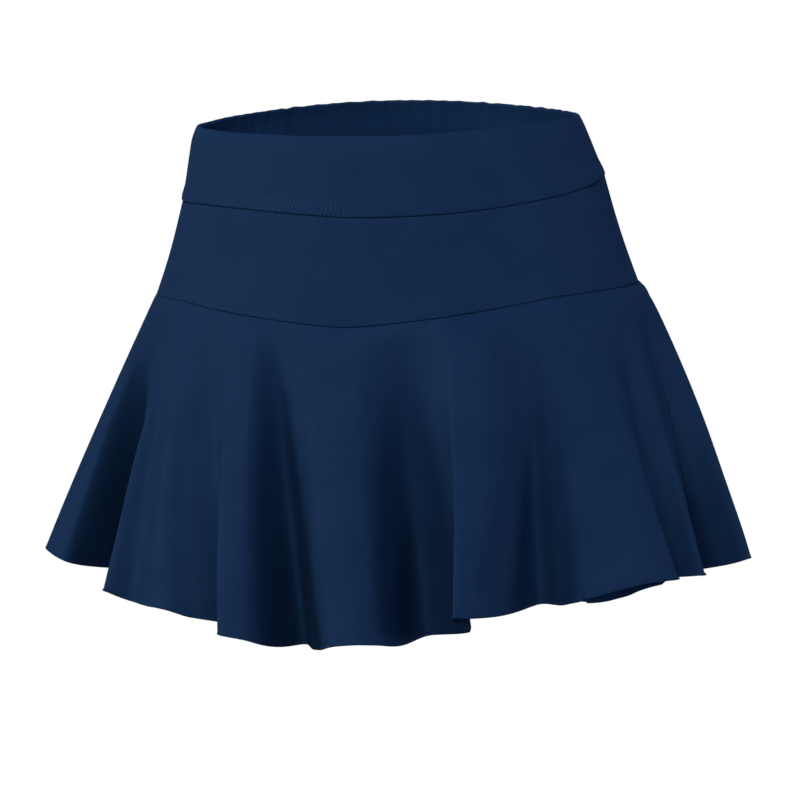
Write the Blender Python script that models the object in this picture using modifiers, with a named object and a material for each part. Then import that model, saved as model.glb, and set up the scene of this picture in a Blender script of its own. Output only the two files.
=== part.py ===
"""Cheerleading skirt: gathered-back waistband, V-pointed hip yoke and a circular-cut flounce.

Blender 4.5, metres, +Z up. The skirt is in the hollow form it takes when it is worn.
Its front faces -Y, and its wearer's left is at +X. The origin is the centre of the waist
opening, halfway up the waistband.

Angles are in degrees round the body: 0 at +X, 90 at the centre back, 180 at -X and 270 at
the front. Sizes in the tables are millimetres.
"""

import bpy
import numpy as np

MM = 0.001

# Where the front pieces meet the back pieces, and where the yoke comes to a point.
SIDE_SEAM_RIGHT = 189.0
SIDE_SEAM_LEFT = 348.5
YOKE_POINT = 269.0
YOKE_POINT_REACH = 48.0

WAISTBAND_WALL = 2.4
KNIT_WALL = 1.2
SEAM_GAP = 0.3

# Level rings round the body. side_tilt raises the wearer's left, back_rise raises the back,
# and point_dip is how far the ring comes down at the yoke's point.
RING_COLUMNS = (
    "height half_width half_depth shift side_tilt back_rise point_dip "
    "cos2 sin2 cos3 sin3"
).split()
RINGS = {
    "rim":      (27.5, 121.4,  94.1, -8.4, 3.6, 3.8,  0.0, -0.7, -0.4, 0.5, -0.8),
    "shoulder": (21.2, 125.0,  97.4, -8.4, 3.6, 3.8,  0.0, -0.7, -0.4, 0.5, -0.8),
    "waist":   (-16.5, 135.1, 106.3, -5.4, 7.9, 4.1,  4.5, -0.2,  1.9, 1.3,  0.3),
    "hip":     (-78.1, 155.3, 125.4, -2.9, 6.4, -1.6, 10.9, -1.9, -0.6, 0.6, -1.7),
}

MEAN_FLARE = 64.0
FLARE_POWER = 0.95
SEAM_KICK = 2.4
SEAM_KICK_SIDE = 2.2
SEAM_KICK_LENGTH = 4.0

# One row for each fold, round the hem from the wearer's right side, past the front and on
# round the back. rise, fall and low are the two shoulders of a lobe and the valley after
# it: their angle at the hem, and how far out of the hip line the hem is there. seam_rise
# and seam_low are the angles at which the lobe and the valley leave the hip seam. The
# lengths are down the cloth, tuck turns the valley's far flank on under the next lobe, and
# grow is how late the fold opens on its way down.
FOLD_COLUMNS = (
    "fold seam_rise seam_low rise rise_out rise_length fall fall_out "
    "low low_out low_length tuck grow"
).split()
FOLDS = [
    ("A", 183.4, 206.1, 199.8, 75.0, 178.7, 208.2, 67.0, 195.0, 7.0, 182.8, -0.1, 1.18),
    ("B", 218.8, 222.6, 227.3, 49.0, 181.9, 230.2, 79.6, 234.6, 70.8, 182.8, 0.3, 1.30),
    ("C", 226.6, 234.6, 244.3, 86.0, 182.6, 249.0, 78.0, 255.2, 64.1, 181.2, 0.9, 1.05),
    ("D", 243.3, 252.5, 255.5, 92.5, 190.6, 259.8, 90.0, 263.4, 32.0, 188.8, 0.0, 1.05),
    ("E", 262.0, 280.5, 272.9, 86.0, 189.2, 278.4, 85.0, 286.6, 29.0, 185.8, 4.9, 1.00),
    ("F", 292.0, 308.0, 289.4, 99.9, 182.6, 291.4, 97.9, 305.2, 55.4, 174.8, -0.3, 0.90),
    ("G", 315.3, 335.4, 308.1, 96.1, 181.4, 321.6, 100.8, 327.6, 62.3, 175.0, 1.0, 1.33),
    ("H", 339.6, 346.2, 331.7, 82.2, 180.0, 335.4, 72.7, 342.7, 47.1, 178.4, 0.8, 1.49),
    ("I", 357.1, 360.7, 343.7, 84.7, 180.8, 351.2, 66.9, 364.7, 54.8, 181.0, 0.0, 0.98),
    ("J", 373.0, 384.0, 375.2, 31.0, 184.4, 384.0, 64.0, 391.0, 40.0, 184.0, 0.0, 1.20),
    ("K", 394.0, 404.0, 399.0, 74.0, 185.0, 405.0, 76.0, 411.0, 46.0, 185.0, 0.0, 1.20),
    ("L", 414.0, 425.0, 419.0, 86.0, 185.0, 425.0, 84.0, 432.0, 42.0, 185.0, 0.0, 1.20),
    ("M", 435.0, 446.0, 440.0, 84.0, 185.0, 446.0, 80.0, 453.0, 44.0, 185.0, 0.0, 1.20),
    ("N", 456.0, 467.0, 461.0, 86.0, 185.0, 467.0, 84.0, 474.0, 42.0, 185.0, 0.0, 1.20),
    ("O", 477.0, 488.0, 482.0, 80.0, 185.0, 488.0, 80.0, 495.0, 46.0, 185.0, 0.0, 1.20),
    ("P", 498.0, 509.0, 503.0, 80.0, 184.0, 509.0, 76.0, 515.0, 42.0, 184.0, 0.0, 1.20),
    ("Q", 518.0, 530.0, 523.0, 66.0, 183.0, 534.2, 64.7, 536.2, 28.4, 183.0, -0.2, 1.20),
]

COLUMNS_PER_QUARTER_FOLD = 3
FLOUNCE_ROWS = 6

# Colour (linear), roughness.
NAVY = (0.0020, 0.0150, 0.0600)
FINISH = {"waistband": 0.70, "yoke": 0.75, "flounce": 0.75}


def ring(name, angle):
    """Points of a level ring, in metres, at these angles."""
    r = dict(zip(RING_COLUMNS, RINGS[name]))
    turn = np.radians(angle)
    off_point = np.abs((angle - YOKE_POINT + 180) % 360 - 180)
    height = (
        r["height"]
        + r["side_tilt"] * np.cos(turn)
        + r["back_rise"] * np.sin(turn)
        + r["cos2"] * np.cos(2 * turn)
        + r["sin2"] * np.sin(2 * turn)
        + r["cos3"] * np.cos(3 * turn)
        + r["sin3"] * np.sin(3 * turn)
        - r["point_dip"] * soft_positive(1 - np.sqrt(off_point**2 + 9) / YOKE_POINT_REACH)
    )
    x = r["half_width"] * np.cos(turn) + r["shift"]
    y = r["half_depth"] * np.sin(turn)
    return np.stack([x, y, height], -1) * MM


def soft_positive(x, width=0.04):
    """x where it is above 0 and 0 below, with the corner eased."""
    return (x + np.sqrt(x * x + width * width)) / 2


def outward(angle):
    """Level unit vectors straight out of the hip ring."""
    r = dict(zip(RING_COLUMNS, RINGS["hip"]))
    turn = np.radians(angle)
    n = np.stack([np.cos(turn) / r["half_width"], np.sin(turn) / r["half_depth"]], -1)
    return n / np.linalg.norm(n, axis=-1, keepdims=True)


def fold_controls():
    """Four rows a fold: seam angle, hem angle, reach out of the hip line, length, grow."""
    folds = [dict(zip(FOLD_COLUMNS, row)) for row in FOLDS]
    rows = []
    for i, f in enumerate(folds):
        after = folds[(i + 1) % len(folds)]
        turn = 360 if i == len(folds) - 1 else 0
        seam_fall = (f["seam_rise"] + f["seam_low"]) / 2
        seam_turn = (f["seam_low"] + after["seam_rise"] + turn) / 2
        turn_angle = (f["low"] + after["rise"] + turn) / 2 + f["tuck"]
        turn_out = (f["low_out"] + after["rise_out"]) / 2
        turn_length = (f["low_length"] + after["rise_length"]) / 2
        turn_grow = (f["grow"] + after["grow"]) / 2
        rows += [
            (f["seam_rise"], f["rise"], f["rise_out"], f["rise_length"], f["grow"]),
            (seam_fall, f["fall"], f["fall_out"], f["rise_length"], f["grow"]),
            (f["seam_low"], f["low"], f["low_out"], f["low_length"], f["grow"]),
            (seam_turn, turn_angle, turn_out, turn_length, turn_grow),
        ]
    return np.array(rows, float)


def hem_curve(u):
    """The controls joined by a smooth closed curve. u counts controls, from 0 at fold A."""
    rows = fold_controls()
    count = len(rows)
    lap = np.array([360, 360, 0, 0, 0])
    i = np.floor(u).astype(int)
    w = (u - i)[:, None]
    p = [rows[(i + k) % count] + lap * ((i + k) // count)[:, None] for k in (-1, 0, 1, 2)]

    def spacing(a, b):
        along = (a[:, 1] - b[:, 1]) * 3.6
        return (np.hypot(along, a[:, 2] - b[:, 2]) ** 0.5 + 1e-6)[:, None]

    d = [spacing(p[k], p[k + 1]) for k in range(3)]
    leave = d[1] * ((p[1] - p[0]) / d[0] - (p[2] - p[0]) / (d[0] + d[1]) + (p[2] - p[1]) / d[1])
    reach = d[1] * ((p[2] - p[1]) / d[1] - (p[3] - p[1]) / (d[1] + d[2]) + (p[3] - p[2]) / d[2])
    points = (
        (2 * w**3 - 3 * w**2 + 1) * p[1]
        + (w**3 - 2 * w**2 + w) * leave
        + (3 * w**2 - 2 * w**3) * p[2]
        + (w**3 - w**2) * reach
    )
    points[:, 0] = (p[1] * (1 - w) + p[2] * w)[:, 0]
    return points


def seam_to_u(angle):
    """Where on the hem curve the cloth leaves the hip seam at this angle."""
    rows = fold_controls()
    seams = np.append(rows[:, 0], rows[0, 0] + 360)
    laps = np.floor((angle - seams[0]) / 360)
    place = np.interp(angle - 360 * laps, seams, np.arange(len(seams)))
    return float(place + laps * len(rows))


def flounce_surface(u, rows=FLOUNCE_ROWS):
    """A column of points down the cloth for each u. The drop comes from the cloth's length."""
    seam, hem, out, length, grow = hem_curve(u).T
    t = np.linspace(0, 1, rows + 1)[None, :]
    angle = seam[:, None] + (hem - seam)[:, None] * t
    reach = MEAN_FLARE * t**FLARE_POWER + (out - MEAN_FLARE)[:, None] * t ** grow[:, None]
    step = (length / rows)[:, None]
    drop = np.sqrt(np.maximum(step**2 - np.diff(reach, axis=1) ** 2, (0.35 * step) ** 2)).cumsum(axis=1)
    drop = np.concatenate([np.zeros((len(seam), 1)), drop], 1)
    kick = SEAM_KICK + SEAM_KICK_SIDE * np.cos(np.radians(angle))
    reach = reach + kick * (1 - np.exp(-t * length[:, None] / SEAM_KICK_LENGTH))
    points = ring("hip", angle)
    points[..., :2] += outward(angle) * (reach[..., None] * MM)
    points[..., 2] -= drop * MM
    return points


def pull_edge(edge, inner):
    """Moves an edge half a seam gap towards the cloth beside it."""
    along = inner - edge
    return edge + along / np.linalg.norm(along, axis=-1, keepdims=True) * (SEAM_GAP / 2 * MM)


def cut_edges(grid, top=True, bottom=True):
    """Leaves the seam gap round a piece: at both sides, and at its top and bottom."""
    grid = grid.copy()
    if top:
        grid[:, 0] = pull_edge(grid[:, 0], grid[:, 1])
    if bottom:
        grid[:, -1] = pull_edge(grid[:, -1], grid[:, -2])
    grid[0] = pull_edge(grid[0], grid[1])
    grid[-1] = pull_edge(grid[-1], grid[-2])
    return grid


def panel_columns(start, end):
    """Values of u from one side seam to the next, shared by all three levels of the skirt."""
    u0, u1 = seam_to_u(start), seam_to_u(end)
    n = COLUMNS_PER_QUARTER_FOLD
    inside = np.arange(np.floor(u0 * n) + 1, np.ceil(u1 * n)) / n
    inside = inside[(inside > u0 + 0.1 / n) & (inside < u1 - 0.1 / n)]
    return np.concatenate([[u0], inside, [u1]])


def clear_scene():
    for obj in list(bpy.data.objects):
        bpy.data.objects.remove(obj, do_unlink=True)


def make_material(name, roughness):
    material = bpy.data.materials.new(name)
    material.use_nodes = True
    shader = material.node_tree.nodes["Principled BSDF"]
    shader.inputs["Base Color"].default_value = (*NAVY, 1)
    shader.inputs["Roughness"].default_value = roughness
    shader.inputs["Metallic"].default_value = 0.0
    return material


def make_piece(name, grid, wall, collection, holder):
    """An open sheet through a grid of points, given its wall on the inside."""
    columns, rows = grid.shape[:2]
    faces = [
        (i * rows + j, i * rows + j + 1, (i + 1) * rows + j + 1, (i + 1) * rows + j)
        for i in range(columns - 1)
        for j in range(rows - 1)
    ]
    mesh = bpy.data.meshes.new(name)
    mesh.from_pydata(grid.reshape(-1, 3).tolist(), [], faces)
    mesh.shade_smooth()
    mesh.set_sharp_from_angle(angle=np.radians(50))
    piece = bpy.data.objects.new(name, mesh)
    piece.data.materials.append(make_material(name, FINISH[name.split("_")[0]]))
    solidify = piece.modifiers.new("wall", "SOLIDIFY")
    solidify.thickness = wall * MM
    solidify.offset = -1
    solidify.use_even_offset = False
    solidify.use_rim = True
    collection.objects.link(piece)
    piece.parent = holder
    return piece


def main():
    clear_scene()
    collection = bpy.data.collections.new("cheerleading_skirt")
    bpy.context.scene.collection.children.link(collection)
    waist = bpy.data.objects.new("waist", None)
    collection.objects.link(waist)

    panels = {
        "front": panel_columns(SIDE_SEAM_RIGHT, SIDE_SEAM_LEFT),
        "back": panel_columns(SIDE_SEAM_LEFT, SIDE_SEAM_RIGHT + 360),
    }
    for side, u in panels.items():
        angle = hem_curve(u)[:, 0]
        rim, shoulder, waist_seam, hip_seam = (
            ring(name, angle) for name in ("rim", "shoulder", "waist", "hip")
        )
        waistband = cut_edges(np.stack([rim, shoulder, waist_seam], 1), top=False)
        yoke = cut_edges(np.stack([waist_seam, hip_seam], 1))
        flounce = cut_edges(flounce_surface(u), bottom=False)
        make_piece("waistband_" + side, waistband, WAISTBAND_WALL, collection, waist)
        make_piece("yoke_" + side, yoke, KNIT_WALL, collection, waist)
        make_piece("flounce_" + side, flounce, KNIT_WALL, collection, waist)


main()
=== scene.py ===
"""The cheerleading skirt as it looks: knitted cloth, sewn seams, gathers, folds and hem.

The sheets made here stand for the six CAD shells and lie on the same surfaces. Sizes in the
tables are millimetres. Angles are degrees round the body: 0 at the wearer's left, 90 at the
centre back, 180 at the wearer's right and 270 at the front.
"""

import math

import bpy
import numpy as np
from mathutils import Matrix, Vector


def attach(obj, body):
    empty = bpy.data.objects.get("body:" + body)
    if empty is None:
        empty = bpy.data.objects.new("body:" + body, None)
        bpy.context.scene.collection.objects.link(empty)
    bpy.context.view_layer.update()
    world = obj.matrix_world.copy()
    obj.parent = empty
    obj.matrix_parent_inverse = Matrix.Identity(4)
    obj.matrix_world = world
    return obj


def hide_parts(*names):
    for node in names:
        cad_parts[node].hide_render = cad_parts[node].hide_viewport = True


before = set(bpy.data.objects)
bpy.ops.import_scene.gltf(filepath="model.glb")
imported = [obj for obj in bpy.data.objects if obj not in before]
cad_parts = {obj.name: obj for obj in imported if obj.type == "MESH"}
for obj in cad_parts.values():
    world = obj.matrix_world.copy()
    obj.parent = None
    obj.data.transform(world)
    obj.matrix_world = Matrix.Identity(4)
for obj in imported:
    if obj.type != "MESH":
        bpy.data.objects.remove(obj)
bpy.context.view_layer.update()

MM = 0.001

# ---------------------------------------------------------------------------------------
# The same tables as the CAD
# ---------------------------------------------------------------------------------------

SIDE_SEAM_RIGHT = 189.0
SIDE_SEAM_LEFT = 348.5
YOKE_POINT = 269.0
YOKE_POINT_REACH = 48.0
SEAM_GAP = 0.3

RING_COLUMNS = (
    "height half_width half_depth shift side_tilt back_rise point_dip "
    "cos2 sin2 cos3 sin3"
).split()
RINGS = {
    "rim":      (27.5, 121.4,  94.1, -8.4, 3.6, 3.8,  0.0, -0.7, -0.4, 0.5, -0.8),
    "shoulder": (21.2, 125.0,  97.4, -8.4, 3.6, 3.8,  0.0, -0.7, -0.4, 0.5, -0.8),
    "waist":   (-16.5, 135.1, 106.3, -5.4, 7.9, 4.1,  4.5, -0.2,  1.9, 1.3,  0.3),
    "hip":     (-78.1, 155.3, 125.4, -2.9, 6.4, -1.6, 10.9, -1.9, -0.6, 0.6, -1.7),
}

MEAN_FLARE = 64.0
FLARE_POWER = 0.95
SEAM_KICK = 2.4
SEAM_KICK_SIDE = 2.2
SEAM_KICK_LENGTH = 4.0

FOLD_COLUMNS = (
    "fold seam_rise seam_low rise rise_out rise_length fall fall_out "
    "low low_out low_length tuck grow"
).split()
FOLDS = [
    ("A", 183.4, 206.1, 199.8, 75.0, 178.7, 208.2, 67.0, 195.0, 7.0, 182.8, -0.1, 1.18),
    ("B", 218.8, 222.6, 227.3, 49.0, 181.9, 230.2, 79.6, 234.6, 70.8, 182.8, 0.3, 1.30),
    ("C", 226.6, 234.6, 244.3, 86.0, 182.6, 249.0, 78.0, 255.2, 64.1, 181.2, 0.9, 1.05),
    ("D", 243.3, 252.5, 255.5, 92.5, 190.6, 259.8, 90.0, 263.4, 32.0, 188.8, 0.0, 1.05),
    ("E", 262.0, 280.5, 272.9, 86.0, 189.2, 278.4, 85.0, 286.6, 29.0, 185.8, 4.9, 1.00),
    ("F", 292.0, 308.0, 289.4, 99.9, 182.6, 291.4, 97.9, 305.2, 55.4, 174.8, -0.3, 0.90),
    ("G", 315.3, 335.4, 308.1, 96.1, 181.4, 321.6, 100.8, 327.6, 62.3, 175.0, 1.0, 1.33),
    ("H", 339.6, 346.2, 331.7, 82.2, 180.0, 335.4, 72.7, 342.7, 47.1, 178.4, 0.8, 1.49),
    ("I", 357.1, 360.7, 343.7, 84.7, 180.8, 351.2, 66.9, 364.7, 54.8, 181.0, 0.0, 0.98),
    ("J", 373.0, 384.0, 375.2, 31.0, 184.4, 384.0, 64.0, 391.0, 40.0, 184.0, 0.0, 1.20),
    ("K", 394.0, 404.0, 399.0, 74.0, 185.0, 405.0, 76.0, 411.0, 46.0, 185.0, 0.0, 1.20),
    ("L", 414.0, 425.0, 419.0, 86.0, 185.0, 425.0, 84.0, 432.0, 42.0, 185.0, 0.0, 1.20),
    ("M", 435.0, 446.0, 440.0, 84.0, 185.0, 446.0, 80.0, 453.0, 44.0, 185.0, 0.0, 1.20),
    ("N", 456.0, 467.0, 461.0, 86.0, 185.0, 467.0, 84.0, 474.0, 42.0, 185.0, 0.0, 1.20),
    ("O", 477.0, 488.0, 482.0, 80.0, 185.0, 488.0, 80.0, 495.0, 46.0, 185.0, 0.0, 1.20),
    ("P", 498.0, 509.0, 503.0, 80.0, 184.0, 509.0, 76.0, 515.0, 42.0, 184.0, 0.0, 1.20),
    ("Q", 518.0, 530.0, 523.0, 66.0, 183.0, 534.2, 64.7, 536.2, 28.4, 183.0, -0.2, 1.20),
]

# ---------------------------------------------------------------------------------------
# What the CAD leaves to this file
# ---------------------------------------------------------------------------------------

BAND_WALL = 3.0          # the waistband: two layers of knit round an elastic
KNIT_WALL = 0.8          # the yoke and the flounce: one layer
ROLL = 0.75              # depth in which cloth turns into a seam
PRESSED = 0.03           # how far the stitching presses each edge past the seam line
ALLOWANCE = 5.0          # width of the cloth turned back inside a seam
CORNER_CLEAR = 7.0       # where two seams cross, the allowances stop short

TABLE_PER_CONTROL = 24   # columns of the flounce's table between two fold controls
TABLE_ROWS = 97
TABLE_PER_DEGREE = 2     # columns of the other tables

# Creases pressed into the gathered back of the waistband: angle, depth, half width, lean.
BACK_CREASES = [
    (150.0, 0.9, 3.0, -1.5), (133.0, 0.9, 3.4, 3.0), (112.5, 2.4, 2.8, 9.0),
    (101.0, 1.0, 3.4, 4.0), (84.0, 0.6, 4.2, 2.0), (66.0, 0.6, 4.2, -2.0),
    (47.0, 1.6, 2.8, -5.0), (33.0, 0.8, 3.2, -3.0),
]


def ring(name, angle):
    """Points of a level ring, in metres, at these angles."""
    r = dict(zip(RING_COLUMNS, RINGS[name]))
    turn = np.radians(angle)
    off_point = np.abs((angle - YOKE_POINT + 180) % 360 - 180)
    height = (
        r["height"]
        + r["side_tilt"] * np.cos(turn)
        + r["back_rise"] * np.sin(turn)
        + r["cos2"] * np.cos(2 * turn)
        + r["sin2"] * np.sin(2 * turn)
        + r["cos3"] * np.cos(3 * turn)
        + r["sin3"] * np.sin(3 * turn)
        - r["point_dip"] * soft_positive(1 - np.sqrt(off_point**2 + 9) / YOKE_POINT_REACH)
    )
    x = r["half_width"] * np.cos(turn) + r["shift"]
    y = r["half_depth"] * np.sin(turn)
    return np.stack([x, y, height], -1) * MM


def soft_positive(x, width=0.04):
    """x where it is above 0 and 0 below, with the corner eased."""
    return (x + np.sqrt(x * x + width * width)) / 2


def outward(angle):
    """Level unit vectors straight out of the hip ring."""
    r = dict(zip(RING_COLUMNS, RINGS["hip"]))
    turn = np.radians(angle)
    n = np.stack([np.cos(turn) / r["half_width"], np.sin(turn) / r["half_depth"]], -1)
    return n / np.linalg.norm(n, axis=-1, keepdims=True)


def fold_controls():
    """Four rows a fold: seam angle, hem angle, reach out of the hip line, length, grow."""
    folds = [dict(zip(FOLD_COLUMNS, row)) for row in FOLDS]
    rows = []
    for i, f in enumerate(folds):
        after = folds[(i + 1) % len(folds)]
        turn = 360 if i == len(folds) - 1 else 0
        seam_fall = (f["seam_rise"] + f["seam_low"]) / 2
        seam_turn = (f["seam_low"] + after["seam_rise"] + turn) / 2
        turn_angle = (f["low"] + after["rise"] + turn) / 2 + f["tuck"]
        turn_out = (f["low_out"] + after["rise_out"]) / 2
        turn_length = (f["low_length"] + after["rise_length"]) / 2
        turn_grow = (f["grow"] + after["grow"]) / 2
        rows += [
            (f["seam_rise"], f["rise"], f["rise_out"], f["rise_length"], f["grow"]),
            (seam_fall, f["fall"], f["fall_out"], f["rise_length"], f["grow"]),
            (f["seam_low"], f["low"], f["low_out"], f["low_length"], f["grow"]),
            (seam_turn, turn_angle, turn_out, turn_length, turn_grow),
        ]
    return np.array(rows, float)


def hem_curve(u):
    """The controls joined by a smooth closed curve. u counts controls, from 0 at fold A."""
    rows = fold_controls()
    count = len(rows)
    lap = np.array([360, 360, 0, 0, 0])
    i = np.floor(u).astype(int)
    w = (u - i)[:, None]
    p = [rows[(i + k) % count] + lap * ((i + k) // count)[:, None] for k in (-1, 0, 1, 2)]

    def spacing(a, b):
        along = (a[:, 1] - b[:, 1]) * 3.6
        return (np.hypot(along, a[:, 2] - b[:, 2]) ** 0.5 + 1e-6)[:, None]

    d = [spacing(p[k], p[k + 1]) for k in range(3)]
    leave = d[1] * ((p[1] - p[0]) / d[0] - (p[2] - p[0]) / (d[0] + d[1]) + (p[2] - p[1]) / d[1])
    reach = d[1] * ((p[2] - p[1]) / d[1] - (p[3] - p[1]) / (d[1] + d[2]) + (p[3] - p[2]) / d[2])
    points = (
        (2 * w**3 - 3 * w**2 + 1) * p[1]
        + (w**3 - 2 * w**2 + w) * leave
        + (3 * w**2 - 2 * w**3) * p[2]
        + (w**3 - w**2) * reach
    )
    points[:, 0] = (p[1] * (1 - w) + p[2] * w)[:, 0]
    return points


def seam_to_u(angle):
    """Where on the hem curve the cloth leaves the hip seam at this angle."""
    rows = fold_controls()
    seams = np.append(rows[:, 0], rows[0, 0] + 360)
    laps = np.floor((angle - seams[0]) / 360)
    place = np.interp(angle - 360 * laps, seams, np.arange(len(seams)))
    return float(place + laps * len(rows))


# ---------------------------------------------------------------------------------------
# Surfaces
# ---------------------------------------------------------------------------------------


def cubic(w):
    """Catmull-Rom weights of the four rows round a point."""
    return [
        (-(w**3) + 2 * w**2 - w) / 2,
        (3 * w**3 - 5 * w**2 + 2) / 2,
        (-3 * w**3 + 4 * w**2 + w) / 2,
        (w**3 - w**2) / 2,
    ]


class Surface:
    """A smooth surface through a table of points that is closed round the body.

    It is read at (a, t): a counts columns round the body, and t counts rows down from 0.
    """

    def __init__(self, table):
        self.columns, self.rows = table.shape[:2]
        above = 2 * table[:, :1] - table[:, 1:2]
        below = 2 * table[:, -1:] - table[:, -2:-1]
        self.table = np.concatenate([above, table, below], 1)

    def at(self, a, t):
        a, t = np.broadcast_arrays(np.asarray(a, float), np.asarray(t, float))
        t = np.clip(t, -0.99, self.rows - 0.01)
        i = np.floor(a).astype(int)
        j = np.clip(np.floor(t).astype(int), 0, self.rows - 2)
        across, down = cubic(a - i), cubic(t - j)
        points = 0
        for k in range(4):
            column = (i + k - 1) % self.columns
            for l in range(4):
                row = np.clip(j + l, 0, self.rows + 1)
                points = points + self.table[column, row] * (across[k] * down[l])[..., None]
        return points

    def normal(self, a, t):
        """Unit vectors out of the cloth's right side."""
        t = np.clip(t, 0, self.rows - 1)
        across = self.at(a + 0.5, t) - self.at(a - 0.5, t)
        down = self.at(a, t + 0.4) - self.at(a, t - 0.4)
        n = np.cross(down, across)
        return n / np.linalg.norm(n, axis=-1, keepdims=True)

    def pitch_across(self, a, t):
        """Millimetres from one column to the next."""
        return np.linalg.norm(self.at(a + 0.5, t) - self.at(a - 0.5, t), axis=-1) / MM

    def pitch_down(self, a, t):
        return np.linalg.norm(self.at(a, t + 0.5) - self.at(a, t - 0.5), axis=-1) / MM

    def pushed(self, distance):
        """The same surface moved out along its own normals, by a table in millimetres."""
        a, t = np.meshgrid(np.arange(self.columns), np.arange(self.rows), indexing="ij")
        moved = self.at(a, t) + self.normal(a, t) * distance[..., None] * MM
        return Surface(moved)


def waves(angle, longest, shortest, seed, count=9):
    """A smooth irregular wave round the body, about 1 high, with these wavelengths in degrees."""
    rng = np.random.default_rng(seed)
    turns = np.unique(np.round(np.geomspace(360 / longest, 360 / shortest, count)))
    wave = sum(
        rng.uniform(0.5, 1.0) * np.cos(np.radians(n * angle) + rng.uniform(0, 2 * np.pi))
        for n in turns
    )
    return wave / np.sqrt(len(turns) / 2 * 0.6)


def away(angle, centre):
    """Degrees from a direction, the short way round."""
    return np.abs((angle - centre + 180) % 360 - 180)


def at_back(angle):
    """1 over the gathered back, easing to 0 before the side seams."""
    share = np.clip((90 - away(angle, 89.0)) / 40, 0, 1)
    return share**2 * (3 - 2 * share)


def gathers(angle, down):
    """How far the elastic pushes the back in and out, in mm. down is in mm from the rim."""
    big = waves(angle, 9.0, 4.6, 11)
    small = waves(angle, 5.2, 2.6, 12)
    lean = waves(angle + down * 0.12, 7.0, 4.0, 13)
    rim = np.exp(-down / 14)
    middle = np.exp(-(((down - 22) / 15) ** 2))
    seam = np.exp(-(((down - 45) / 12) ** 2))
    push = big * (0.20 * rim + 0.16 * middle + 0.12 * seam)
    push = push + small * (0.07 * rim + 0.03 * middle + 0.06 * seam) + lean * 0.14 * middle
    for centre, depth, half, slant in BACK_CREASES:
        off = away(angle, centre + slant * down / 45) * 1.9
        fade = (0.35 + 0.65 * np.exp(-((down / 30) ** 2))) * (1 - 0.75 * np.exp(-down / 3))
        push = push - 0.5 * depth * np.exp(-((off / half) ** 2)) * fade
    return push * at_back(angle)


def pinches(angle, down):
    """The share of the band's thickness left on its inside, where a crease pinches it."""
    left = 1.0
    for centre, depth, half, slant in BACK_CREASES:
        off = away(angle, centre + slant * down / 45) * 1.9
        left = left - 0.40 * depth * np.exp(-((off / half) ** 2)) * np.clip(down / 3, 0, 1)
    return np.clip(left, 0.05, 1)


def band_surface():
    """The outside of the waistband, from the rim (t = 0) down to the waist seam."""
    angle = np.arange(0, 360, 1 / TABLE_PER_DEGREE)
    rim, shoulder, waist = (ring(name, angle) for name in ("rim", "shoulder", "waist"))
    # The straight wall eases into the inward turn at the top.
    start = shoulder + (waist - shoulder) * 0.16
    rows = []
    for w in np.linspace(0, 1, 13)[:-1]:
        rows.append(rim * (1 - w) ** 2 + shoulder * 2 * w * (1 - w) + start * w**2)
    rows += [start + (waist - start) * w for w in np.linspace(0, 1, 36)]
    surface = Surface(np.stack(rows, 1))
    a, t = np.meshgrid(np.arange(surface.columns), np.arange(surface.rows), indexing="ij")
    step = surface.pitch_down(a, t)
    down = np.cumsum(step, 1) - step
    left = down[:, -1:] - down
    angle = a / TABLE_PER_DEGREE
    # The seam's four layers make the band's lower edge stand out, most at the sides.
    near_side = np.exp(-((away(angle, 352) / 15) ** 2)) + 0.55 * np.exp(-((away(angle, 190) / 15) ** 2))
    push = (0.25 + 1.4 * near_side) * np.exp(-(((left - 3.0) / 5.0) ** 2))
    push = push + gathers(angle, down)
    push = push + 0.22 * waves(angle + down * 0.2, 60, 22, 21) * (1 - at_back(angle))
    surface = surface.pushed(push)
    ripple = 0.1 * waves(angle, 9.0, 5.0, 14) * at_back(angle) * np.exp(-down / 7)
    surface.table[:, 1:-1, 2] += ripple * MM
    surface.table[:, 0] = 2 * surface.table[:, 1] - surface.table[:, 2]
    return surface


def yoke_surface():
    """The yoke, from the waist seam (t = 0) down to the hip seam."""
    angle = np.arange(0, 360, 1 / TABLE_PER_DEGREE)
    waist, hip = ring("waist", angle), ring("hip", angle)
    steps = np.linspace(0, 1, 41)
    table = waist[:, None] + (hip - waist)[:, None] * steps[None, :, None]
    surface = Surface(table)
    angle = np.repeat(angle[:, None], len(steps), 1)
    down = steps[None, :] * 62.0
    push = -1.0 * np.sin(np.pi * steps)[None, :] * (0.35 + 0.65 * np.abs(np.cos(np.radians(angle))))
    push = push + gathers(angle, 47.0 + down * 0) * np.exp(-down / 11)
    push = push + 0.25 * waves(angle + down * 0.15, 70, 24, 22) * np.sin(np.pi * steps)[None, :]
    return surface.pushed(push)


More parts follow.
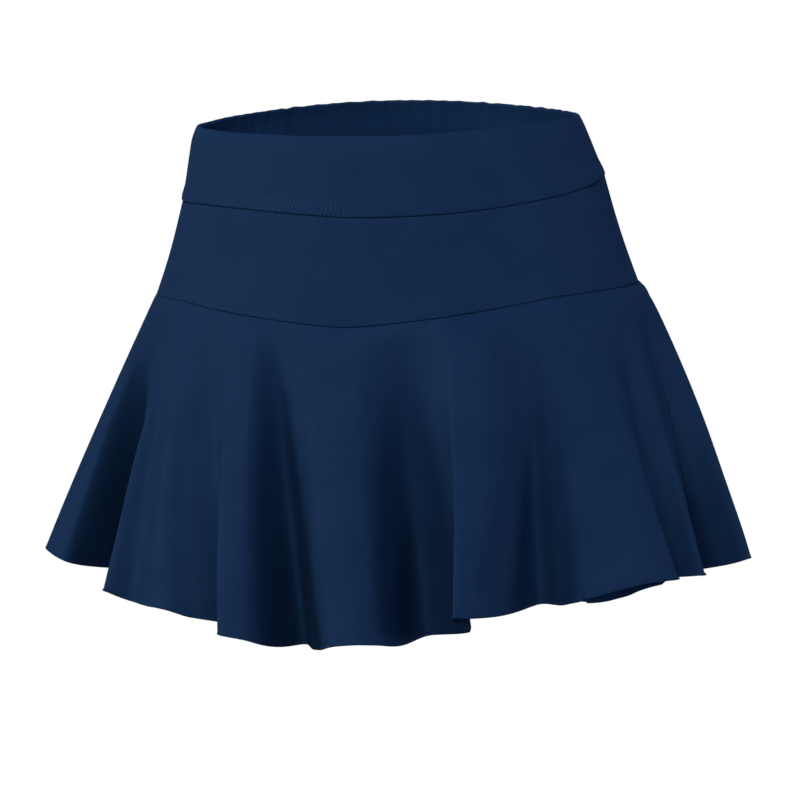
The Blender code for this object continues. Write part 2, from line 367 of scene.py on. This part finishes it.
def flounce_surface():
    """The flounce, from the hip seam (t = 0) down the cloth to the hem."""
    count = len(fold_controls())
    u = np.arange(count * TABLE_PER_CONTROL) / TABLE_PER_CONTROL
    seam, hem, out, length, grow = hem_curve(u).T
    t = np.linspace(0, 1, TABLE_ROWS)[None, :]
    angle = seam[:, None] + (hem - seam)[:, None] * t
    reach = MEAN_FLARE * t**FLARE_POWER + (out - MEAN_FLARE)[:, None] * t ** grow[:, None]
    step = (length / (TABLE_ROWS - 1))[:, None]
    drop = np.sqrt(np.maximum(step**2 - np.diff(reach, axis=1) ** 2, (0.35 * step) ** 2)).cumsum(axis=1)
    drop = np.concatenate([np.zeros((len(seam), 1)), drop], 1)
    kick = SEAM_KICK + SEAM_KICK_SIDE * np.cos(np.radians(angle))
    reach = reach + kick * (1 - np.exp(-t * length[:, None] / SEAM_KICK_LENGTH))
    points = ring("hip", angle)
    points[..., :2] += outward(angle) * (reach[..., None] * MM)
    points[..., 2] -= drop * MM
    surface = Surface(points)
    round_hem = hem[:, None] + 0 * t
    push = 0.35 * waves(round_hem + 14 * t, 24, 7, 31) * t + 0.16 * waves(round_hem, 8, 3.2, 32) * t**3
    surface = surface.pushed(push)
    surface.length = length
    return surface


# ---------------------------------------------------------------------------------------
# Meshes
# ---------------------------------------------------------------------------------------


def turned_edge(tight=0.7, roll=ROLL, allowance=ALLOWANCE, steps=10):
    """(along, in) from a seam: cloth coming in on its inside, round the roll and out again.

    Both are in millimetres. along is measured from the seam into the panel, and tight is
    how far along the roll reaches. Flags are 2 for the allowance and 1 for the roll.
    """
    path = [(tight + allowance * w - PRESSED, 2 * roll, 2) for w in (1, 0.66, 0.33)]
    for turn in np.linspace(np.pi, 0, steps + 1):
        along = tight - tight * math.sin(turn) - PRESSED
        path.append((along, roll - roll * math.cos(turn), 1))
    return np.array(path)


def shell(name, points, normals, wall, keep, uv):
    """A closed shell: the grid's kept cells, the same cells wall mm inside, and a rim."""
    columns, rows = points.shape[:2]
    index = np.arange(columns * rows).reshape(columns, rows)
    cells = np.stack([index[:-1, :-1], index[:-1, 1:], index[1:, 1:], index[1:, :-1]], -1)[keep]
    used = np.unique(cells)
    new = np.full(columns * rows, -1)
    new[used] = np.arange(len(used))
    cells = new[cells]
    outer = points.reshape(-1, 3)[used]
    inner = outer - normals.reshape(-1, 3)[used] * wall * MM
    edges = np.concatenate([cells[:, [k, (k + 1) % 4]] for k in range(4)])
    key = edges[:, 0] * len(used) + edges[:, 1]
    back = edges[:, 1] * len(used) + edges[:, 0]
    rim = edges[~np.isin(key, back)]
    n = len(used)
    faces = np.concatenate([
        cells,
        cells[:, ::-1] + n,
        np.stack([rim[:, 1], rim[:, 0], rim[:, 0] + n, rim[:, 1] + n], -1),
    ])
    flat = uv.reshape(-1, 2)[used]
    return mesh_object(name, np.concatenate([outer, inner]), faces, np.concatenate([flat, flat]))


def mesh_object(name, vertices, faces, uv=None, sharp=50):
    mesh = bpy.data.meshes.new(name)
    mesh.from_pydata(vertices.tolist(), [], faces.tolist())
    if uv is not None:
        layer = mesh.uv_layers.new(name="cut")
        corner = np.empty(len(mesh.loops), np.int32)
        mesh.loops.foreach_get("vertex_index", corner)
        layer.data.foreach_set("uv", uv[corner].astype(np.float32).ravel())
    mesh.shade_smooth()
    mesh.set_sharp_from_angle(angle=math.radians(sharp))
    piece = bpy.data.objects.new(name, mesh)
    bpy.context.scene.collection.objects.link(piece)
    return piece


def beside(surface, seam, side, t, along):
    """The column that lies along mm from a seam, on its +1 or -1 side, for each row t."""
    probe = np.arange(-2, 60, 0.25)
    a, rows = np.meshgrid(seam + side * probe, t, indexing="ij")
    step = np.linalg.norm(np.diff(surface.at(a, rows), axis=0), axis=-1) / MM
    run = np.concatenate([np.zeros((1, len(t))), np.cumsum(step, 0)])
    run -= run[probe == 0]
    return np.array([seam + side * np.interp(along, run[:, j], probe) for j in range(len(t))])


def side_columns(surface, start, end, t_start, t_end, main):
    """Column places (a, in, flag) of a panel: its edge paths and main columns between them.

    start and end are the seams' columns, and t_start and t_end each row's place on them.
    """
    path = turned_edge(0.6)
    first = [(beside(surface, start, 1, t_start, along), depth, flag) for along, depth, flag in path]
    last = [(beside(surface, end, -1, t_end, along), depth, flag) for along, depth, flag in path[::-1]]
    clear_start = beside(surface, start, 1, t_start, 1.15)
    clear_end = beside(surface, end, -1, t_end, 1.15)
    main = main[(main > clear_start.max()) & (main < clear_end.min())]
    near_start = beside(surface, start, 1, t_start, CORNER_CLEAR).max()
    near_end = beside(surface, end, -1, t_end, CORNER_CLEAR).min()
    middle = [(a + 0 * t_start, 0.0, -1 if a < near_start or a > near_end else 0) for a in main]
    return first + middle + last


def panel(name, surface, start, end, rows, main, uv_of, bend=None):
    """A sewn panel. rows is a list of (t for a column array, in, flag) from the top down."""
    t_start, t_end = (
        np.array([row[0](np.array([seam]))[0] for row in rows]) for seam in (start, end)
    )
    columns = side_columns(surface, start, end, t_start, t_end, main)
    a = np.stack([c[0] for c in columns])
    t = np.stack([row[0](a[:, j]) for j, row in enumerate(rows)], 1)
    depth = np.array([c[1] for c in columns])[:, None] + np.array([r[1] for r in rows])[None, :]
    points, normals = surface.at(a, t), surface.normal(a, t)
    if bend is not None:
        points, normals = bend(surface, a, t, points, normals)
    points = points - normals * depth[..., None] * MM
    # A turned edge faces round with its path: the shell's wall follows the turned cloth.
    normals = grid_normals(points, normals)
    side = np.array([c[2] for c in columns])
    level = np.array([r[2] for r in rows])
    cell_side = np.maximum(side[:-1], side[1:])
    near_side = (side[:-1] == -1) | (side[1:] == -1) | (cell_side >= 1)
    cell_level = np.maximum(level[:-1], level[1:])
    keep = ~(near_side[:, None] & (cell_level == 2)[None, :])
    keep &= ~((cell_side == 2)[:, None] & (cell_level >= 1)[None, :])
    return shell(name, points, normals, KNIT_WALL, keep, uv_of(a, t))


def grid_normals(points, like):
    """Normals of the grid as it lies, turned cloth included."""
    across = np.gradient(points, axis=0)
    down = np.gradient(points, axis=1)
    n = np.cross(down, across)
    size = np.linalg.norm(n, axis=-1, keepdims=True)
    return np.where(size > 1e-14, n / np.maximum(size, 1e-14), like)


def even_columns(surface, start, end, t, spacing, tight=0.0):
    """Columns from start to end, spacing mm apart along row t, closer where the row turns."""
    a = np.arange(start, end, 0.25)
    line = surface.at(a, t + 0 * a)
    step = np.gradient(line, axis=0)
    length = np.linalg.norm(step, axis=-1) / MM
    heading = np.unwrap(np.arctan2(step[:, 1], step[:, 0]))
    turning = np.abs(np.gradient(heading))
    weight = length / spacing + tight * turning
    place = np.concatenate([[0], np.cumsum((weight[1:] + weight[:-1]) / 2)])
    count = int(round(place[-1]))
    return np.interp(np.linspace(0, place[-1], count + 1), place, a)


def make_waistband(name, surface, start, end):
    """A double band folded over at the rim, rounded where it meets the waist seam."""
    half = BAND_WALL / 2
    edge = 0.6
    count = surface.rows - 1
    ends = [(SEAM_GAP / 2 + 0.8 * (1 - math.cos(w)), math.sin(w)) for w in np.radians([0, 25, 50, 75])]
    pitch = float(surface.pitch_across(start, count / 2))
    main = even_columns(surface, start, end, count / 2, 1.45)
    main = main[(main > start + 1.3 / pitch) & (main < end - 1.3 / pitch)]
    columns = [(start + along / pitch, grow) for along, grow in ends]
    columns += [(a, 1.0) for a in main]
    columns += [(end - along / pitch, grow) for along, grow in ends[::-1]]
    a = np.array([c[0] for c in columns])[:, None]
    grow = np.array([0.22 + 0.78 * c[1] for c in columns])[:, None]
    grow = grow * (1 - 0.4 * at_back(a / TABLE_PER_DEGREE))
    # Down the outside, round the lower edge, up the inside and over the rim.
    fine = np.linspace(0, count, 40 * 4 + 1)
    where = surface.at(a, fine[None, :])
    run = np.concatenate([np.zeros((len(a), 1)), np.cumsum(np.linalg.norm(np.diff(where, axis=1), axis=-1), 1)], 1) / MM
    total = run[:, -1:]
    loop = []
    for w in np.linspace(0, 1, 34):
        loop.append((half + (total - half - edge - SEAM_GAP / 2) * w, 0.0))
    for turn in np.radians(np.arange(22.5, 180, 22.5)):
        loop.append((total - edge - SEAM_GAP / 2 + edge * math.sin(turn), half - half * math.cos(turn)))
    for w in np.linspace(1, 0, 34):
        loop.append((half + (total - half - edge - SEAM_GAP / 2) * w, 2 * half))
    for turn in np.radians(np.arange(157.5, 0, -22.5)):
        loop.append((half - half * math.sin(turn), half - half * math.cos(turn)))
    distance = np.concatenate([np.broadcast_to(d, total.shape) for d, _ in loop], 1)
    depth = np.array([d for _, d in loop])[None, :]
    t = np.stack([np.interp(distance[i], run[i], fine) for i in range(len(a))])
    a2 = a + 0 * t
    points, normals = surface.at(a2, t), surface.normal(a2, t)
    pinch = np.where(depth > half, pinches(a / TABLE_PER_DEGREE, distance), 1.0)
    depth = half + (depth - half) * grow * pinch
    points = points - normals * depth[..., None] * MM
    columns_n, loop_n = points.shape[:2]
    index = np.arange(columns_n * loop_n).reshape(columns_n, loop_n)
    ahead = np.roll(index, -1, 1)
    faces = np.stack([index[:-1], ahead[:-1], ahead[1:], index[1:]], -1).reshape(-1, 4)
    # The two ends are closed across, each point of the outside to the one behind it.
    mirror = [(33 - k + 34 + 7) % loop_n for k in range(loop_n)]
    caps = []
    for row, flip in ((0, False), (columns_n - 1, True)):
        for k in range(0, 33):
            quad = [index[row, k], index[row, k + 1], index[row, mirror[k + 1]], index[row, mirror[k]]]
            caps.append(quad if flip else quad[::-1])
        for first in (33, 33 + 34 + 7):
            ring_points = [index[row, (first + k) % loop_n] for k in range(9)]
            for k in range(4):
                quad = [ring_points[k], ring_points[k + 1], ring_points[7 - k], ring_points[8 - k]]
                if len(set(quad)) == 4:
                    caps.append(quad if flip else quad[::-1])
                else:
                    tri = [ring_points[3], ring_points[4], ring_points[5], ring_points[5]]
                    caps.append(tri if flip else tri[::-1])
    faces = faces.tolist() + [list(dict.fromkeys(int(v) for v in cap)) for cap in caps]
    around = np.concatenate([[0], np.cumsum(np.linalg.norm(np.diff(points[:, 16], axis=0), axis=-1))])
    uv = np.stack([around[:, None] + 0 * t, distance * MM + (depth > half) * 0.4], -1)
    piece = mesh_object_lists(name, points.reshape(-1, 3), faces, uv.reshape(-1, 2))
    # The side next to the body takes the second material, a lighter copy of the navy that paints light onto the band's
    # shaded inside.
    around_band = np.arange((columns_n - 1) * loop_n) % loop_n
    second = np.zeros(len(piece.data.polygons), np.int32)
    second[: len(around_band)] = (around_band >= 38) & (around_band < 77)
    piece.data.polygons.foreach_set("material_index", second)
    return piece


def mesh_object_lists(name, vertices, faces, uv):
    class Faces(list):
        def tolist(self):
            return self
    return mesh_object(name, vertices, Faces(faces), uv)


def yoke_rows(surface):
    """The yoke's rows: turned edge at the waist seam, wall, turned edge at the hip seam."""
    count = surface.rows - 1
    path = turned_edge(0.45)
    rows = []
    for along, depth, flag in path:
        rows.append((lambda a, s=along: s / surface.pitch_down(a, 1.0), depth, int(flag)))
    path = turned_edge(0.7)
    inset = 1.3
    for w in np.linspace(0, 1, 30)[1:-1]:
        def place(a, w=w):
            low = inset / surface.pitch_down(a, 1.0)
            high = count - inset / surface.pitch_down(a, count - 1.0)
            return low + (high - low) * w
        rows.append((place, 0.0, 0))
    for along, depth, flag in path[::-1]:
        rows.append((lambda a, s=along: count - s / surface.pitch_down(a, count - 1.0), depth, int(flag)))
    return rows


HEM_STEPS = 12
HEM_PARTS = 6        # small steps between two rows of the strip
HEM_BEND = 1.6       # length of cloth, in mm, in which the strip turns


def hem_turn(surface, a):
    """The strip that turns at the raw hem: width (mm), angle (degrees, + under) and the
    crease's height above the hem line (mm)."""
    u = np.asarray(a) / TABLE_PER_CONTROL
    turn = u * 360 * TABLE_PER_CONTROL / surface.columns
    width = 2.2 + 0.5 * waves(turn, 30, 9, 41)
    angle = -16 + 14 * waves(turn, 26, 7, 42)
    for centre, half, most_width, most_angle in HEM_TURNS:
        off = np.clip(np.abs(u - centre) / half, 0, 1)
        share = (1 - off**2) ** 1.4
        width = width + (most_width - width) * share
        angle = angle + (most_angle - angle) * np.clip(share * 5, 0, 1)
    width = np.clip(width, 1.4, 30)
    # How far down the strip reaches as it is seen from the front, along the cloth above it.
    turns = strip_turns(width, angle)
    reach = width * (np.cos(turns) + 0.27 * np.sin(turns)).mean(0)
    reach = reach * (1 - 0.6 * np.clip((angle - 40) / 60, 0, 1))
    return width, angle, np.where(angle > 0, reach, width)


def strip_turns(width, angle):
    """The strip's turn from the cloth above it, in radians, at each small step down it.

    A strip that turns right under comes back down at its edge and hangs in the shade.
    """
    steps = HEM_STEPS * HEM_PARTS
    turns = []
    for k in range(steps):
        place = (k + 0.5) / steps
        share = np.clip(place * width / np.minimum(HEM_BEND, width), 0, 1)
        turn = np.radians(angle) * share * share * (3 - 2 * share)
        down = np.clip((place - 0.62) / 0.2, 0, 1)
        down = down * down * (3 - 2 * down) * np.clip((angle - 60) / 40, 0, 1)
        turns.append(turn * (1 - down) + math.radians(20) * down)
    return np.stack(turns)


# Where the hem turns under or flicks out: control, reach in controls, width mm, angle.
HEM_TURNS = [
    (24.38, 0.52, 14.5, 110.0),
]


def flounce_rows(surface):
    """The flounce's rows: turned edge, drop, and the strip along the hem."""
    count = surface.rows - 1

    def unit(a):
        places = np.arange(surface.columns + 1)
        return np.interp(a % surface.columns, places, np.append(surface.length, surface.length[0])) / count

    rows = []
    for along, depth, flag in turned_edge(0.75):
        rows.append((lambda a, s=along: s / unit(a), depth, int(flag)))
    inset = 1.3
    spread = np.linspace(0, 1, 54)[1:]
    spread = spread * 0.8 + 0.2 * spread**2
    for w in spread:
        def place(a, w=w):
            low = inset / unit(a)
            high = count - hem_turn(surface, a)[2] / unit(a)
            return low + (high - low) * w
        rows.append((place, 0.0, 0))
    for w in np.linspace(1, 0, HEM_STEPS + 1)[1:]:
        rows.append((lambda a, w=w: count - hem_turn(surface, a)[2] * w / unit(a), 0.0, 0))
    return rows


def bend_hem(surface, a, t, points, normals):
    """Turns the last rows about the crease above them."""
    crease = points.shape[1] - 1 - HEM_STEPS
    width, most, _ = hem_turn(surface, a[:, -1])
    start = points[:, crease]
    n = normals[:, crease]
    down = surface.at(a[:, -1], t[:, crease] + 0.3) - surface.at(a[:, -1], t[:, crease] - 0.3)
    down /= np.linalg.norm(down, axis=-1, keepdims=True)
    turns = strip_turns(width, most)
    position = start.copy()
    for k in range(HEM_STEPS):
        for turn in turns[k * HEM_PARTS : (k + 1) * HEM_PARTS]:
            heading = down * np.cos(turn)[:, None] - n * np.sin(turn)[:, None]
            position = position + heading * (width / HEM_STEPS / HEM_PARTS)[:, None] * MM
        points[:, crease + 1 + k] = position
        normals[:, crease + 1 + k] = n * np.cos(turn)[:, None] + down * np.sin(turn)[:, None]
    return points, normals


def tube(points, radius, sides=6):
    """Vertices and faces of a closed-ended tube along a polyline."""
    heading = np.gradient(points, axis=0)
    heading /= np.linalg.norm(heading, axis=-1, keepdims=True)
    up = np.cross(heading, np.array([0.0, 0.0, 1.0]))
    up /= np.maximum(np.linalg.norm(up, axis=-1, keepdims=True), 1e-9)
    side = np.cross(heading, up)
    turn = np.linspace(0, 2 * np.pi, sides, endpoint=False)
    circle = up[:, None] * np.cos(turn)[None, :, None] + side[:, None] * np.sin(turn)[None, :, None]
    vertices = points[:, None] + circle * np.reshape(radius, (-1, 1, 1))
    n = len(points)
    index = np.arange(n * sides).reshape(n, sides)
    ahead = np.roll(index, -1, 1)
    faces = np.stack([index[:-1], ahead[:-1], ahead[1:], index[1:]], -1).reshape(-1, 4).tolist()
    faces.append(index[0].tolist())
    faces.append(index[-1][::-1].tolist())
    return vertices.reshape(-1, 3), faces


STITCH_ROWS = (1.5, 4.6, 7.7)   # mm above the waist seam
STITCH_PITCH = 2.2
STITCH_HEIGHT = 2.0


def stitch_lift(angle):
    """How proud of the knit the thread stands, in mm. It is looser just right of the front point."""
    loose = np.clip((16.0 - away(angle, 257.0)) / 5, 0, 1)
    return -0.21 + 0.27 * loose * loose * (3 - 2 * loose)


def make_stitches(name, surface, start, end):
    """Three rows of coverstitch just above the waist seam: upright loops of thread side by side."""
    count = surface.rows - 1
    pitch = surface.pitch_across(np.array([start]), count - 4.0)[0]
    run = (end - start) * pitch
    stitches = int(run / STITCH_PITCH)
    vertices, faces = [], []
    total = 0
    rng = np.random.default_rng(51)
    along = np.linspace(-1, 1, 6)
    for row, above in enumerate(STITCH_ROWS):
        for k in range(1, stitches):
            a = start + (k + 0.33 * row + rng.uniform(-0.08, 0.08)) / (stitches + 1) * (end - start)
            angle = a / TABLE_PER_DEGREE
            lean = 0.22 + rng.uniform(-0.1, 0.1)
            half = STITCH_HEIGHT / 2 * rng.uniform(0.85, 1.1)
            height = above + half * along
            place = a + lean * along / pitch
            t = count - height / surface.pitch_down(a, count - 3.0)
            lift = stitch_lift(angle) + rng.uniform(-0.03, 0.03) - 0.22 * along**4
            line = surface.at(place, t) + surface.normal(place, t) * lift[:, None] * MM
            v, f = tube(line, (0.26 - 0.08 * along**2) * MM, 5)
            vertices.append(v)
            faces += [[i + total for i in face] for face in f]
            total += len(v)
    return mesh_object_lists_plain(name, np.concatenate(vertices), faces)


def mesh_object_lists_plain(name, vertices, faces):
    mesh = bpy.data.meshes.new(name)
    mesh.from_pydata(vertices.tolist(), [], faces)
    mesh.shade_smooth()
    piece = bpy.data.objects.new(name, mesh)
    bpy.context.scene.collection.objects.link(piece)
    return piece


# ---------------------------------------------------------------------------------------
# Materials
# ---------------------------------------------------------------------------------------

NAVY = (0.0072, 0.0244, 0.0730)
NAVY_DEEP = (0.0058, 0.0208, 0.0650)


def node(tree, kind, **values):
    made = tree.nodes.new(kind)
    for key, value in values.items():
        if key in made.inputs:
            made.inputs[key].default_value = value
        else:
            setattr(made, key, value)
    return made


def maths(tree, operation, first, second=None):
    made = tree.nodes.new("ShaderNodeMath")
    made.operation = operation
    for slot, value in zip(made.inputs, (first, second)):
        if value is None:
            continue
        if isinstance(value, (int, float)):
            slot.default_value = value
        else:
            tree.links.new(value, slot)
    return made.outputs[0]


def knit_material(name, light=NAVY, deep=NAVY_DEEP, painted_highlight=None, wale=0.00062, course=0.00052, bump=0.25, roughness=0.62):
    """Fine jersey: columns of V-shaped loops, with a little variation in colour and gloss, and a paler painted
    highlight where a highlight colour is given.
    """
    material = bpy.data.materials.new(name)
    material.use_nodes = True
    tree = material.node_tree
    shader = tree.nodes["Principled BSDF"]
    shader.inputs["Specular IOR Level"].default_value = 0.02
    shader.inputs["Specular Tint"].default_value = (0.50, 0.78, 1.0, 1.0)
    shader.inputs["Sheen Weight"].default_value = 0.01
    shader.inputs["Sheen Roughness"].default_value = 0.40
    shader.inputs["Sheen Tint"].default_value = (0.35, 0.60, 1.0, 1.0)
    place = tree.nodes.new("ShaderNodeTexCoord")
    split = tree.nodes.new("ShaderNodeSeparateXYZ")
    tree.links.new(place.outputs["UV"], split.inputs[0])
    across, along = split.outputs["X"], split.outputs["Y"]
    wales = maths(tree, "MULTIPLY", across, 1 / wale)
    lean = maths(tree, "PINGPONG", wales, 0.5)
    courses = maths(tree, "ADD", maths(tree, "MULTIPLY", along, 1 / course), maths(tree, "MULTIPLY", lean, 1.1))
    loop = maths(tree, "SINE", maths(tree, "MULTIPLY", courses, 2 * math.pi))
    rib = maths(tree, "SINE", maths(tree, "MULTIPLY", lean, 2 * math.pi))
    height = maths(tree, "ADD", maths(tree, "MULTIPLY", loop, 0.45), maths(tree, "MULTIPLY", rib, 0.7))
    grain = node(tree, "ShaderNodeTexNoise", Scale=2600.0, Detail=2.0)
    tree.links.new(place.outputs["Object"], grain.inputs["Vector"])
    height = maths(tree, "ADD", height, maths(tree, "MULTIPLY", grain.outputs["Fac"], 0.8))
    relief = node(tree, "ShaderNodeBump", Strength=bump, Distance=0.00012)
    tree.links.new(height, relief.inputs["Height"])
    tree.links.new(relief.outputs["Normal"], shader.inputs["Normal"])
    cloud = node(tree, "ShaderNodeTexNoise", Scale=38.0, Detail=4.0, Roughness=0.62)
    tree.links.new(place.outputs["Object"], cloud.inputs["Vector"])
    mottle = node(tree, "ShaderNodeTexNoise", Scale=420.0, Detail=3.0, Roughness=0.6)
    tree.links.new(place.outputs["Object"], mottle.inputs["Vector"])
    blend = maths(tree, "ADD", maths(tree, "MULTIPLY", cloud.outputs["Fac"], 0.65), maths(tree, "MULTIPLY", mottle.outputs["Fac"], 0.35))
    ramp = tree.nodes.new("ShaderNodeValToRGB")
    ramp.color_ramp.elements[0].position = 0.36
    ramp.color_ramp.elements[0].color = (*deep, 1)
    ramp.color_ramp.elements[1].position = 0.64
    ramp.color_ramp.elements[1].color = (*light, 1)
    tree.links.new(blend, ramp.inputs[0])
    colour = ramp.outputs[0]
    if painted_highlight is not None:
        # Painted highlight: the thread is made paler in a patch just right of the front point, where its stitches stand
        # loose.
        where = tree.nodes.new("ShaderNodeSeparateXYZ")
        tree.links.new(place.outputs["Object"], where.inputs[0])
        off = maths(tree, "ABSOLUTE", maths(tree, "ADD", where.outputs["X"], 0.040))
        share = tree.nodes.new("ShaderNodeMapRange")
        share.interpolation_type = "SMOOTHSTEP"
        for slot, value in zip(share.inputs[1:5], (0.024, 0.040, 1.0, 0.0)):
            slot.default_value = value
        tree.links.new(off, share.inputs[0])
        mix = tree.nodes.new("ShaderNodeMix")
        mix.data_type = "RGBA"
        mix.inputs[7].default_value = (*painted_highlight, 1)
        tree.links.new(share.outputs[0], mix.inputs[0])
        tree.links.new(colour, mix.inputs[6])
        colour = mix.outputs[2]
    tree.links.new(colour, shader.inputs["Base Color"])
    rough = maths(tree, "ADD", maths(tree, "MULTIPLY", mottle.outputs["Fac"], 0.12), roughness - 0.06)
    tree.links.new(rough, shader.inputs["Roughness"])
    return material


# ---------------------------------------------------------------------------------------
# The skirt
# ---------------------------------------------------------------------------------------


def main():
    band, yoke, flounce = band_surface(), yoke_surface(), flounce_surface()

    seams = {
        "front": (SIDE_SEAM_RIGHT, SIDE_SEAM_LEFT),
        "back": (SIDE_SEAM_LEFT, SIDE_SEAM_RIGHT + 360),
    }
    hip_line = np.linalg.norm(np.diff(ring("hip", np.linspace(0, 360, 721)), axis=0), axis=1).sum()
    hem_line = flounce.at(np.arange(flounce.columns + 1), flounce.rows - 1.0)
    hem_line = np.linalg.norm(np.diff(hem_line, axis=0), axis=1).sum()
    drop = flounce.length.mean() * MM
    cut_angle = (hem_line - hip_line) / drop
    cut_radius = hip_line / cut_angle

    def ring_uv(height):
        def uv(a, t):
            return np.stack([a / TABLE_PER_DEGREE / 360 * hip_line * 0.92, t / 40 * height], -1)
        return uv

    def circle_uv(a, t):
        u = a / TABLE_PER_CONTROL
        seam = hem_curve(u.ravel())[:, 0].reshape(u.shape)
        turn = seam / 360 * cut_angle
        radius = cut_radius + t / (flounce.rows - 1) * drop
        return np.stack([radius * np.cos(turn), radius * np.sin(turn)], -1)

    band_cloth = knit_material("waistband_cloth")
    # Painted light: the band's inside gets a lighter copy of the navy, which brightens its shaded face.
    painted_light_inside = knit_material("waistband_inside_painted_light", light=(0.0076, 0.0292, 0.0920), deep=(0.0060, 0.0250, 0.0820))
    yoke_cloth = knit_material("yoke_cloth", light=(0.0070, 0.0238, 0.0710), deep=(0.0057, 0.0203, 0.0635))
    flounce_cloth = knit_material("flounce_cloth", light=(0.0070, 0.0238, 0.0710), deep=(0.0057, 0.0203, 0.0635))
    # The thread's paler patch just right of the front point is a painted highlight.
    thread = knit_material(
        "stitch_thread_with_painted_highlight", light=(0.0068, 0.0260, 0.0770), deep=(0.0058, 0.0225, 0.0690),
        painted_highlight=(0.0190, 0.0560, 0.1400), bump=0.1,
    )

    for side, (start, end) in seams.items():
        piece = make_waistband("waistband_cloth_" + side, band, start * TABLE_PER_DEGREE, end * TABLE_PER_DEGREE)
        piece.data.materials.append(band_cloth)
        piece.data.materials.append(painted_light_inside)
        stitches = make_stitches("waist_stitching_" + side, band, start * TABLE_PER_DEGREE, end * TABLE_PER_DEGREE)
        stitches.data.materials.append(thread)
        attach(piece, "root")
        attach(stitches, "root")
        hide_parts("waistband_" + side)
        width = float(band_width(band, start, end))

        main_columns = even_columns(yoke, start * TABLE_PER_DEGREE, end * TABLE_PER_DEGREE, 20.0, 1.7)
        piece = panel("yoke_cloth_" + side, yoke, start * TABLE_PER_DEGREE, end * TABLE_PER_DEGREE, yoke_rows(yoke), main_columns, ring_uv(0.064))
        piece.data.materials.append(yoke_cloth)
        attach(piece, "root")
        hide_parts("yoke_" + side)

        u0, u1 = seam_to_u(start), seam_to_u(end)
        spacing = 1.55 if side == "front" else 2.15
        main_columns = even_columns(flounce, u0 * TABLE_PER_CONTROL, u1 * TABLE_PER_CONTROL, flounce.rows - 1.0, spacing, 2.5)
        piece = panel("flounce_cloth_" + side, flounce, u0 * TABLE_PER_CONTROL, u1 * TABLE_PER_CONTROL, flounce_rows(flounce), main_columns, circle_uv, bend_hem)
        piece.data.materials.append(flounce_cloth)
        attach(piece, "root")
        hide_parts("flounce_" + side)

    set_stage()


def band_width(surface, start, end):
    a = np.linspace(start * TABLE_PER_DEGREE, end * TABLE_PER_DEGREE, 400)
    line = surface.at(a, surface.rows * 0.6 + 0 * a)
    return np.linalg.norm(np.diff(line, axis=0), axis=1).sum()


# ---------------------------------------------------------------------------------------
# Camera, light, floor
# ---------------------------------------------------------------------------------------

TARGET = Vector((0.0, 0.0, -0.155))
CAMERA_TURN, CAMERA_RISE, CAMERA_DISTANCE = 12.0, 11.5, 1.45
METRES_PER_PIXEL = 0.000649
IMAGE = 800


def around(turn, rise, distance, centre=TARGET):
    """A point seen from centre at this turn from the front and this height, in degrees."""
    turn, rise = math.radians(turn), math.radians(rise)
    return centre + distance * Vector((
        math.sin(turn) * math.cos(rise), -math.cos(turn) * math.cos(rise), math.sin(rise)
    ))


def aimed(obj, place, centre=TARGET):
    obj.location = place
    obj.rotation_euler = (centre - place).to_track_quat("-Z", "Y").to_euler()
    bpy.context.scene.collection.objects.link(obj)
    return obj


def area_light(name, turn, rise, distance, size, power, colour=(1, 1, 1)):
    light = bpy.data.lights.new(name, "AREA")
    light.shape = "DISK"
    light.size = size
    light.energy = power
    light.color = colour
    return aimed(bpy.data.objects.new(name, light), around(turn, rise, distance))


WARM = (1.42, 1.34, 1.0)         # the lamps
COOL = (0.32, 0.40, 1.0, 1.0)    # the light that fills the folds


def set_stage():
    camera = bpy.data.cameras.new("camera")
    camera.sensor_width = 36
    camera.lens = 36 * (CAMERA_DISTANCE / METRES_PER_PIXEL) / IMAGE
    holder = aimed(bpy.data.objects.new("camera", camera), around(CAMERA_TURN, CAMERA_RISE, CAMERA_DISTANCE))
    bpy.context.scene.camera = holder

    area_light("key", -10, 40, 2.2, 0.9, 20.0, WARM)
    area_light("front", 20, 40, 2.2, 0.9, 5.6, WARM)
    area_light("right_side", -70, 12, 2.2, 0.9, 19.8, WARM)
    area_light("left_side", 80, 12, 2.2, 0.9, 11.4, WARM)

    world = bpy.data.worlds.new("studio")
    bpy.context.scene.world = world
    world.use_nodes = True
    tree = world.node_tree
    tree.nodes.clear()
    out = tree.nodes.new("ShaderNodeOutputWorld")
    mix = tree.nodes.new("ShaderNodeMixShader")
    path = tree.nodes.new("ShaderNodeLightPath")
    soft = node(tree, "ShaderNodeBackground", Color=COOL, Strength=0.36)
    white = node(tree, "ShaderNodeBackground", Color=(1.0, 1.0, 1.0, 1.0), Strength=1.0)
    tree.links.new(path.outputs["Is Camera Ray"], mix.inputs[0])
    tree.links.new(soft.outputs[0], mix.inputs[1])
    tree.links.new(white.outputs[0], mix.inputs[2])
    tree.links.new(mix.outputs[0], out.inputs[0])

    vertices = np.array([(x, y, -0.62) for x, y in ((-4, -4), (4, -4), (4, 4), (-4, 4))], float)
    floor = mesh_object("floor", vertices, np.array([[0, 1, 2, 3]]))
    material = bpy.data.materials.new("pale_floor")
    material.use_nodes = True
    tree = material.node_tree
    tree.nodes.clear()
    out = tree.nodes.new("ShaderNodeOutputMaterial")
    mix = tree.nodes.new("ShaderNodeMixShader")
    path = tree.nodes.new("ShaderNodeLightPath")
    pale = node(tree, "ShaderNodeBsdfDiffuse", Color=(0.12, 0.13, 0.15, 1.0))
    white = node(tree, "ShaderNodeEmission", Color=(1.0, 1.0, 1.0, 1.0), Strength=1.0)
    tree.links.new(path.outputs["Is Camera Ray"], mix.inputs[0])
    tree.links.new(pale.outputs[0], mix.inputs[1])
    tree.links.new(white.outputs[0], mix.inputs[2])
    tree.links.new(mix.outputs[0], out.inputs[0])
    floor.data.materials.append(material)

    bpy.context.scene.view_settings.view_transform = "Standard"


main()
